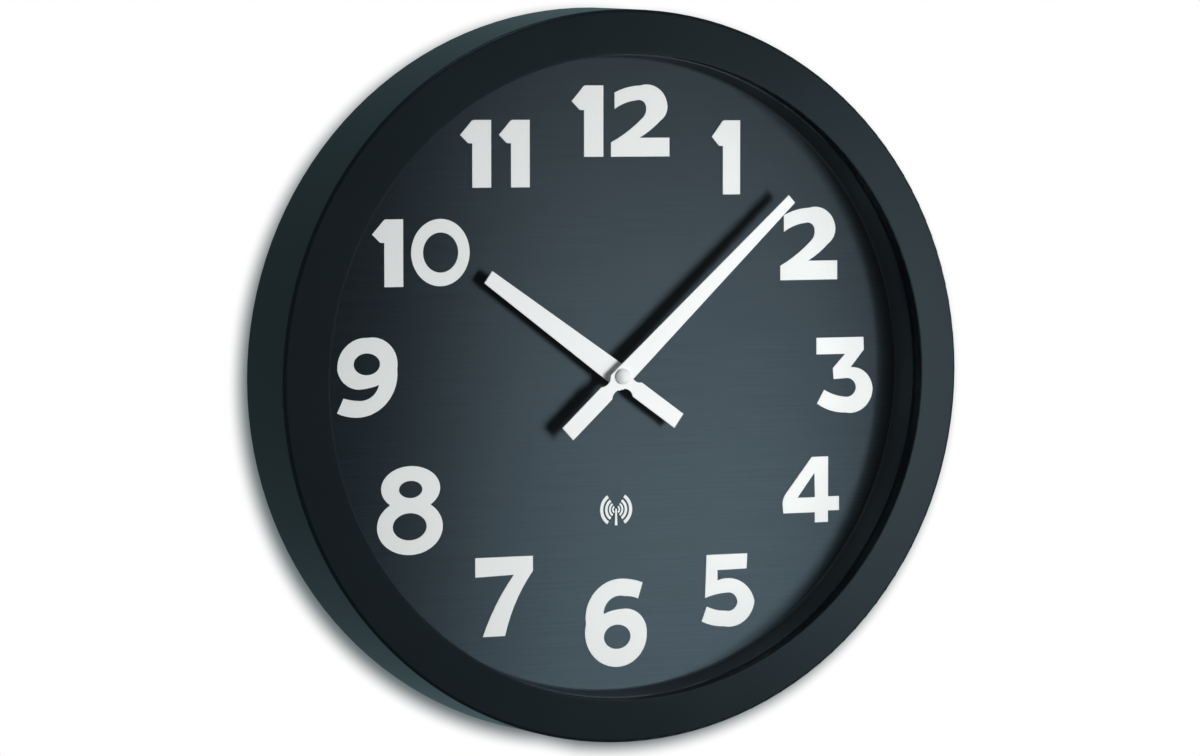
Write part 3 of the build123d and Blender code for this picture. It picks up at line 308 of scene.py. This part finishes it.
reach = add(tree, "VectorMath", {0: flat.outputs[0]}, operation="LENGTH").outputs["Value"]
inner = add(tree, "MapRange", {0: reach, 1: INNER_EDGE[0], 2: INNER_EDGE[1], 3: 0.0, 4: 1.0})
rough = add(tree, "Mix", {0: inner.outputs[0], 2: polished.outputs[0], 3: COARSE})
tree.links.new(rough.outputs[0], shader.inputs["Roughness"])
tree.links.new(bezel.outputs[0], tree.nodes["Bump"].inputs["Strength"])
dress(case_finish, "case_frame")
# ABS from a coarser mould, where shine would only disturb the view of the dial.
dress(moulded("abs_matt_moulded", ("#333b40", "#3b4449"), (0.66, 0.74),
              grain=0.9 * MM, relief=0.02 * MM, gloss=0.15, sheen=SHEEN),
      "spacer_ring", "dial_carrier")
# Polystyrene with the open grain that hides scratches on the back of a clock.
dress(moulded("polystyrene_grained", ("#232628", "#2b2e30"), (0.52, 0.64),
              grain=1.3 * MM, relief=0.06 * MM),
      "rear_cover")
# ABS straight from a polished mould with light eroding: a plain technical black.
dress(moulded("abs_eroded", ("#26282a", "#2c2e31"), (0.44, 0.54),
              grain=0.7 * MM, relief=0.03 * MM),
      "movement_front_case", "movement_rear_lid", "battery_tray")
# ABS from a polished mould: smooth grey button caps.
dress(moulded("abs_polished", ("#b9bbbd", "#c4c6c8"), (0.22, 0.28),
              grain=0.9 * MM, relief=0.004 * MM),
      "set_button", "receive_button", "reset_button")
# Acetal, the milky waxy plastic of small gears and spools.
dress(moulded("acetal_moulded", ("#e2dfd4", "#eceae0"), (0.34, 0.42),
              grain=0.6 * MM, relief=0.006 * MM),
      "centre_wheel", "hour_wheel", "motion_wheel", "third_wheel", "rotor_pinion", "coil_bobbin",
      "train_bridge")

# %% [markdown]
# ## The brushed dial
# The dial is sheet aluminium, brushed in straight lines from left to right and then anodised dark. Each
# brush line is a tiny groove, so light spreads up and down but hardly sideways. Real lines are a few
# hundredths of a millimetre wide, too fine for a picture of the whole clock, so they are drawn about
# 0.8 mm wide and 45 mm long. The coloured layer over the metal has a little matt colour of its own,
# which shows where no lamp is mirrored. The colour is also painted lighter towards the bottom and
# darker towards the top: a painted highlight low on the dial and painted shade towards the top.

# %% Brushed dial
LINE_WIDTH = 0.8 * MM
LINE_LENGTH = 45 * MM
LINE_DEPTH = 0.004 * MM
PAINTED_SHEEN_REACH = 130 * MM
PAINTED_SHEEN_SHARES = (1.24, 0.46)

material, tree, shader, place = begin("aluminium_brushed_anodised")
stretched = add(tree, "Mapping", {"Vector": place, "Scale": (1 / LINE_LENGTH, 1.0, 1 / LINE_WIDTH)})
lines = add(tree, "TexNoise", {"Vector": stretched.outputs[0], "Scale": 1.0, "Detail": 4.0,
                               "Roughness": 0.6})
# Painted highlight and shade: the base colour is scaled up towards the bottom of the dial and down towards
# the top.
height = add(tree, "SeparateXYZ", {0: place}).outputs["Z"]
painted_sheen = add(tree, "MapRange", {0: height, 1: -PAINTED_SHEEN_REACH, 2: PAINTED_SHEEN_REACH, 3: PAINTED_SHEEN_SHARES[0], 4: PAINTED_SHEEN_SHARES[1]})
vary(tree, shader, lines.outputs["Fac"], ("#1b2328", "#2b363c"), (0.37, 0.43))
even = shader.inputs["Base Color"].links[0].from_socket
sheen_painted_colour = add(tree, "VectorMath", {0: even, "Scale": painted_sheen.outputs[0]}, operation="SCALE")
tree.links.new(sheen_painted_colour.outputs[0], shader.inputs["Base Color"])
raise_relief(tree, shader, lines.outputs["Fac"], LINE_DEPTH)
across = add(tree, "Tangent", direction_type="RADIAL", axis="X")
tree.links.new(across.outputs[0], shader.inputs["Tangent"])
shader.inputs["Anisotropic"].default_value = 0.95
shader.inputs["Metallic"].default_value = 0.66
shader.inputs["Specular IOR Level"].default_value = 0.1
dress(material, "dial_plate")

# %% [markdown]
# ## White ink and white lacquer
# The figures and the small radio mark are screen printed: thick ink, matt, with the faint mottle that
# the mesh leaves. The hands and the cap are stamped, then sprayed, so they have a smoother skin with a
# slight orange peel.

# %% White print and lacquer
def white_coat(name, colours, roughness, mottle, relief):
    """A white coat whose mottle of a given size shows a little in colour, shine and relief."""
    material, tree, shader, place = begin(name)
    spots = add(tree, "TexNoise", {"Vector": place, "Scale": 1 / mottle, "Detail": 2.0})
    vary(tree, shader, spots.outputs["Fac"], colours, roughness)
    raise_relief(tree, shader, spots.outputs["Fac"], relief)
    return material


dress(white_coat("screen_ink_white", ("#eef2f0", "#f5f8f6"), (0.52, 0.62),
                 mottle=0.9 * MM, relief=0.006 * MM),
      "hour_numerals", "radio_symbol")
dress(white_coat("spray_lacquer_white", ("#eef1ef", "#f4f6f5"), (0.46, 0.54),
                 mottle=1.6 * MM, relief=0.008 * MM),
      "hour_hand", "minute_hand", "hand_cap")

# %% [markdown]
# ## The glass
# The front is flat float glass with an anti-glare skin, clear enough that only its edge and a breath of
# haze show. Bent light would throw hard bright patches on the dial, so the glass is thin to light:
# mostly open, with a faint skin that spreads what it mirrors.

# %% Float glass
HAZE = 60 * MM

material, tree, shader, place = begin("float_glass")
haze = add(tree, "TexNoise", {"Vector": place, "Scale": 1 / HAZE, "Detail": 2.0})
vary(tree, shader, haze.outputs["Fac"], ("#0b1412", "#0f1a17"), (0.22, 0.28))
shader.inputs["IOR"].default_value = 1.52
shader.inputs["Specular IOR Level"].default_value = 0.05
shader.inputs["Alpha"].default_value = 0.03
dress(material, "glass_lens")

# %% [markdown]
# ## Metals
# Screws and hanger are zinc plated steel, the contacts nickel plated strip, the bush turned brass, and
# the core and pole plate soft iron. What the eye reads is the working: plating is cloudy, rolling and
# turning leave lines.

# %% Worked metals
def worked_metal(name, colours, roughness, cloud, stretch=(1.0, 1.0, 1.0)):
    """Bare or plated metal with a clouded pattern of a given size, drawn out the way it was worked."""
    material, tree, shader, place = begin(name)
    drawn = add(tree, "Mapping", {"Vector": place, "Scale": stretch})
    marks = add(tree, "TexNoise", {"Vector": drawn.outputs[0], "Scale": 1 / cloud, "Detail": 5.0})
    vary(tree, shader, marks.outputs["Fac"], colours, roughness)
    shader.inputs["Metallic"].default_value = 1.0
    return material


dress(worked_metal("steel_zinc_plated", ("#a9adb0", "#cdd0d2"), (0.40, 0.54), cloud=1.6 * MM),
      "cover_screws", "movement_screws", "train_screws", "hanger_screws", "hanger_plate")
dress(worked_metal("steel_nickel_plated", ("#bdb9b0", "#d6d3cb"), (0.20, 0.34),
                   cloud=2.0 * MM, stretch=(1.0, 1.0, 0.15)),
      "contact_positive", "contact_negative", "switch_domes", "quartz_crystal")
dress(worked_metal("brass_turned", ("#b8913f", "#d4b264"), (0.20, 0.32),
                   cloud=0.5 * MM, stretch=(0.2, 1.0, 0.2)),
      "centre_bush")
dress(worked_metal("soft_iron_stamped", ("#8b8c8e", "#a5a6a8"), (0.34, 0.50),
                   cloud=1.2 * MM, stretch=(0.3, 1.0, 1.0)),
      "stator", "coil_core")

# %% [markdown]
# ## Electronics
# Behind the lid sit a circuit board, a chip, a ferrite rod and a small magnet. They are rarely seen,
# yet each has a surface of its own: solder mask over copper tracks, cast epoxy, and the speckled grey
# of sintered powder.

# %% Board, chip, ferrite and magnet
TRACK_SPACING = 1.9 * MM
TRACK_HEIGHT = 0.03 * MM

material, tree, shader, place = begin("epoxy_glass_solder_mask")
upright = add(tree, "Mapping", {"Vector": place, "Rotation": (np.pi / 2, 0.0, 0.0)})
tracks = add(tree, "TexBrick", {"Vector": upright.outputs[0], "Scale": 1.0, "Mortar Size": 0.35 * MM,
                                "Brick Width": 6 * TRACK_SPACING, "Row Height": TRACK_SPACING})
vary(tree, shader, tracks.outputs["Fac"], ("#1d5a35", "#2f7a47"), (0.34, 0.26))
raise_relief(tree, shader, tracks.outputs["Fac"], TRACK_HEIGHT)
dress(material, "circuit_board")

# Epoxy cast round the chip: dull black with a fine pitted skin.
dress(moulded("epoxy_cast", ("#1b1b1c", "#222223"), (0.50, 0.60),
              grain=0.4 * MM, relief=0.01 * MM), "clock_chip")
# Ferrite is pressed powder, fired: dark grey, hard, faintly sparkling where grains break.
dress(moulded("ferrite_sintered", ("#303134", "#434448"), (0.42, 0.66),
              grain=0.5 * MM, relief=0.03 * MM), "antenna_rod")
dress(worked_metal("magnet_sintered", ("#5d5e61", "#7b7c80"), (0.34, 0.52), cloud=0.6 * MM),
      "rotor_magnet")

# %% [markdown]
# ## Surfaces from a grid
# The pieces that follow are grids of points: rows follow a path, and the points of a row go once round
# it. One function lays quads over any such grid and closes its ends, and another makes the object. The
# order of the corners is the same everywhere, so that every face points outwards.

# %% Skin a grid, and make a piece
def skin(grid, loop=False):
    """Points and faces over a grid of shape (rows, columns, 3) whose rows close round.

    The quad (i, j) joins rows i and i + 1 and columns j and j + 1. With loop the last row joins the first,
    and otherwise a fan of triangles to the middle of each end row closes the ends.
    """
    rows, columns = grid.shape[:2]
    index = np.arange(rows * columns).reshape(rows, columns)
    low, high = (index, np.roll(index, -1, axis=0)) if loop else (index[:-1], index[1:])
    quads = np.stack([low, np.roll(low, -1, 1), np.roll(high, -1, 1), high], axis=-1)
    quads = quads.reshape(-1, 4).tolist()
    points = grid.reshape(-1, 3)
    if loop:
        return points, quads
    middle = np.full((2, columns), [[len(points)], [len(points) + 1]])
    first = np.column_stack([np.roll(index[0], -1), index[0], middle[0]]).tolist()
    last = np.column_stack([index[-1], np.roll(index[-1], -1), middle[1]]).tolist()
    return np.vstack([points, grid[[0, -1]].mean(axis=1)]), quads + first + last


def new_piece(name, points, faces, material, body, slot, crease=np.radians(40)):
    """A mesh object at the origin that rides on a body, smooth except at edges sharper than the crease."""
    mesh = bpy.data.meshes.new(name)
    mesh.from_pydata(points.tolist(), [], faces)
    mesh.materials.append(material)
    mesh.shade_smooth()
    mesh.set_sharp_from_angle(angle=crease)
    piece = bpy.data.objects.new(name, mesh)
    bpy.context.collection.objects.link(piece)
    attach(piece, body)
    low, high = points.min(axis=0) / MM, points.max(axis=0) / MM
    print(f"{name}: {len(faces)} faces, from {low.round(1)} to {high.round(1)} mm")
    return piece


# %% [markdown]
# ## The cell
# Behind, one slim cell lies in the open tray. A cell is a steel can in a printed film that is shrunk
# over its ends, and the eye knows it by its steps: the nub, the bare ring round it, the rolled edge of
# the film. A profile of places and radii, carried once round the cell's line, gives those steps as real
# shape.

# %% Turn the can and its film
def turned(profile, line, steps=96):
    """A profile of rows (x, r) carried round a line along X.

    Point (i, j) is at x[i], at r[i] from the line, at the angle 2 pi j / steps.
    """
    angle = np.linspace(0, 2 * np.pi, steps, endpoint=False)
    x, r = np.asarray(profile).T[:, :, None]
    return np.stack([x + 0 * angle, line[0] + r * np.cos(angle), line[1] + r * np.sin(angle)], axis=-1)


cell_low, cell_high = (np.array(corner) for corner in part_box("battery"))
cell_line = (cell_low + cell_high)[1:] / 2
cell_radius = (cell_high - cell_low)[2] / 2
NUB_RADIUS = 2.75 * MM
NUB_LENGTH = 1.4 * MM
FILM = 0.12 * MM
shoulder = cell_high[0] - NUB_LENGTH
can = cell_radius - FILM
left, right = cell_low[0], cell_high[0]

can_profile = [(left + 0.35 * MM, 0.3 * MM), (left + 0.35 * MM, 0.40 * can),
               (left + 0.05 * MM, 0.48 * can), (left + 0.05 * MM, 0.86 * can),
               (left + 0.25 * MM, 0.94 * can), (left + 0.7 * MM, can),
               (shoulder - 0.8 * MM, can), (shoulder - 0.3 * MM, 0.95 * can),
               (shoulder - 0.1 * MM, 0.88 * can), (shoulder - 0.1 * MM, 0.80 * can),
               (shoulder - 0.45 * MM, 0.76 * can),
               (shoulder - 0.45 * MM, NUB_RADIUS + 0.5 * MM), (shoulder - 0.2 * MM, NUB_RADIUS + 0.1 * MM),
               (right - 0.3 * MM, NUB_RADIUS), (right - 0.08 * MM, NUB_RADIUS - 0.1 * MM),
               (right, NUB_RADIUS - 0.4 * MM), (right, 0.3 * MM)]
film_profile = [(left + 0.02 * MM, 0.80 * can), (left + 0.02 * MM, 0.88 * can + FILM),
                (left + 0.25 * MM, 0.96 * can + FILM), (left + 0.75 * MM, can + FILM),
                (shoulder - 0.75 * MM, can + FILM), (shoulder - 0.22 * MM, 0.955 * can + FILM),
                (shoulder, 0.88 * can + FILM), (shoulder, 0.82 * can), (shoulder - 0.1 * MM, 0.82 * can),
                (shoulder - 0.1 * MM, 0.88 * can), (shoulder - 0.3 * MM, 0.95 * can),
                (shoulder - 0.8 * MM, can), (left + 0.7 * MM, can), (left + 0.25 * MM, 0.94 * can),
                (left + 0.05 * MM, 0.86 * can), (left + 0.05 * MM, 0.80 * can)]

# %% Finish the cell
# Film is printed in flat colours and then shrunk on, so it is smooth and shiny, with faint ripples
# along it.
STRIPE_AT = 0.74
TIP_AT = 0.78
RIPPLE = 7 * MM
RIPPLE_DEPTH = 0.06 * MM

material, tree, shader, place = begin("shrink_film_printed")
along = add(tree, "MapRange", {0: add(tree, "SeparateXYZ", {0: place}).outputs["X"],
                               1: left, 2: right, 3: 0.0, 4: 1.0})
print_bands = add(tree, "ValToRGB", {0: along.outputs[0]})
print_bands.color_ramp.interpolation = "CONSTANT"
print_bands.color_ramp.elements[0].color = linear("#25486f")
print_bands.color_ramp.elements[1].position = TIP_AT
print_bands.color_ramp.elements[1].color = linear("#c9cdcf")
stripe = print_bands.color_ramp.elements.new(STRIPE_AT)
stripe.color = linear("#dfa83c")
tree.links.new(print_bands.outputs["Color"], shader.inputs["Base Color"])
ripples = add(tree, "TexNoise", {"Vector": place, "Scale": 1 / RIPPLE, "Detail": 2.0})
gloss = add(tree, "MapRange", {0: ripples.outputs["Fac"], 3: 0.20, 4: 0.32})
tree.links.new(gloss.outputs[0], shader.inputs["Roughness"])
raise_relief(tree, shader, ripples.outputs["Fac"], RIPPLE_DEPTH)
film_finish = material

can_finish = worked_metal("steel_drawn_nickel", ("#b6b4ae", "#cfcdc8"), (0.22, 0.36),
                          cloud=1.5 * MM, stretch=(0.2, 1.0, 1.0))
cell_can = new_piece("cell_can", *skin(turned(can_profile, cell_line)), can_finish,
                     "battery", "contact_nickel")
cell_film = new_piece("cell_film", *skin(turned(film_profile, cell_line), loop=True), film_finish,
                      "battery", "battery_sleeve")
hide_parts("battery")
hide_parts("battery")

# %% [markdown]
# ## Wound wire
# The motor's coil and the aerial's coil are wound from enamelled copper wire, to and fro in layers. The
# path is a helix whose place along the spool goes up and down like a zigzag while its radius grows by
# one layer at each turn-round. A small circle is carried along that path. Real wire is finer than a
# hair, so it is drawn thicker.

# %% Wind the coils
TURN_PITCH = 1.03


def wound(left, right, inner, wire, layers, line, sides=6, steps=24):
    """A wire of one piece wound in layers on a spool along X.

    At turn number u the layer is u / turns, x runs from left to right in even layers and back in odd ones,
    the radius is inner + wire (layer + 1/2), with the step to the next layer spread over the last half
    turn, and the angle is 2 pi u. Round each point of that path goes a circle in the plane of the outward
    and sideways lines.
    """
    turns = int((right - left - wire) / (wire * TURN_PITCH))
    u = np.linspace(0, turns * layers - 1e-6, turns * layers * steps)
    layer, share = np.divmod(u / turns, 1.0)
    climb = np.clip((share - 1) * turns * 2 + 1, 0, 1) * (layer < layers - 1)
    x = np.where(layer % 2 == 0, left + wire / 2 + share * (right - left - wire),
                 right - wire / 2 - share * (right - left - wire))
    radius = inner + wire * (layer + climb + 0.5)
    angle = 2 * np.pi * u
    outward = np.stack([0 * u, np.cos(angle), np.sin(angle)], axis=-1)
    path = radius[:, None] * outward + np.stack([x, line[0] + 0 * u, line[1] + 0 * u], axis=-1)
    ahead = np.gradient(path, axis=0)
    ahead /= np.linalg.norm(ahead, axis=1, keepdims=True)
    outward -= ahead * (ahead * outward).sum(axis=1, keepdims=True)
    outward /= np.linalg.norm(outward, axis=1, keepdims=True)
    sideways = np.cross(ahead, outward)
    round_wire = np.linspace(0, 2 * np.pi, sides, endpoint=False)
    circle = (np.cos(round_wire)[None, :, None] * outward[:, None]
              + np.sin(round_wire)[None, :, None] * sideways[:, None])
    return path[:, None] + wire / 2 * circle


# Copper under clear enamel: deep red-brown metal with a glassy skin.
enamelled = worked_metal("copper_enamelled", ("#a4532a", "#c06b3c"), (0.22, 0.34), cloud=3.0 * MM)
for node, name, core, wire, layers in (("coil_winding", "motor_coil_wire", 2.23 * MM, 0.32 * MM, 3),
                                       ("antenna_coil", "aerial_coil_wire", 2.53 * MM, 0.48 * MM, 2)):
    low, high = (np.array(corner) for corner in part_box(node))
    grid = wound(low[0], high[0], core, wire, layers, (low + high)[1:] / 2)
    wire_piece = new_piece(name, *skin(grid), enamelled, "case", "copper_wire")
    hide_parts(node)

# %% [markdown]
# ## Marks for the cell
# The lid carries two small raised marks that show which way the cell goes in, a plus and a minus. They
# are part of the moulding on a real clock. Here each is a flat outline, lifted off the lid, with a fine
# bevel on its edge.

# %% Raise the plus and the minus
def raised(outline, centre, base, height):
    """A prism over a closed outline of rows (x, z) from the depth base towards the back by height."""
    ring = np.asarray(outline) + centre
    count = len(ring)
    points = np.vstack([np.column_stack([ring[:, 0], np.full(count, y), ring[:, 1]])
                        for y in (base, base + height)])
    index = np.arange(count)
    after = np.roll(index, -1)
    sides = np.column_stack([index, index + count, after + count, after]).tolist()
    return points, sides + [index.tolist(), (index + count)[::-1].tolist()]


MARK = 2.2 * MM
STROKE = 0.35 * MM
RAISE = 0.3 * MM
SINK = 0.05 * MM
MARK_EDGE = 0.08 * MM
MARK_RISE = 5 * MM
MARK_REACH = 20 * MM
lid_low, lid_high = (np.array(corner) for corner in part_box("movement_rear_lid"))
mark_height = lid_low[2] + MARK_RISE
mark_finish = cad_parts["movement_rear_lid"].material_slots[0].material
minus = np.array([(-MARK, -STROKE), (MARK, -STROKE), (MARK, STROKE), (-MARK, STROKE)])
plus = np.array([(-STROKE, -MARK), (STROKE, -MARK), (STROKE, -STROKE), (MARK, -STROKE), (MARK, STROKE),
                 (STROKE, STROKE), (STROKE, MARK), (-STROKE, MARK), (-STROKE, STROKE), (-MARK, STROKE),
                 (-MARK, -STROKE), (-STROKE, -STROKE)])
for name, outline, place_x in (("mark_minus", minus, -MARK_REACH), ("mark_plus", plus, MARK_REACH)):
    shape = raised(outline, (place_x, mark_height), lid_high[1] - SINK, RAISE + SINK)
    mark = new_piece(name, *shape, mark_finish, "case", "movement_plastic")
    edge = mark.modifiers.new("edge", "BEVEL")
    edge.width = MARK_EDGE
    edge.segments = 2

# %% [markdown]
# ## Stiffening rings
# A wide thin disc of plastic would drum and sag, so the back of such a clock is moulded with shallow
# rounded rings. Each ring is a half ellipse carried once round the clock's middle, with its foot sunk a
# little into the disc.

# %% Raise the rings
RING_REACHES = (68 * MM, 127 * MM)
RING_HALF_WIDTH = 2.5 * MM
RING_HEIGHT = 1.2 * MM
RING_STEPS = 256
ARCH_STEPS = 17
cover_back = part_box("rear_cover")[1][1]
cover_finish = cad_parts["rear_cover"].material_slots[0].material
arch = np.linspace(0, np.pi, ARCH_STEPS)
for number, reach in enumerate(RING_REACHES, start=1):
    crown = np.column_stack([cover_back + RING_HEIGHT * np.sin(arch),
                             reach + RING_HALF_WIDTH * np.cos(arch)])
    foot = np.array([(cover_back - SINK, reach + RING_HALF_WIDTH),
                     (cover_back - SINK, reach - RING_HALF_WIDTH)])
    profile = np.vstack([foot[:1], crown, foot[1:]])
    ring = np.roll(turned(profile, (0.0, 0.0), steps=RING_STEPS), 1, axis=-1)
    new_piece(f"back_ring_{number}", *skin(ring, loop=True), cover_finish, "case", "cover_plastic")
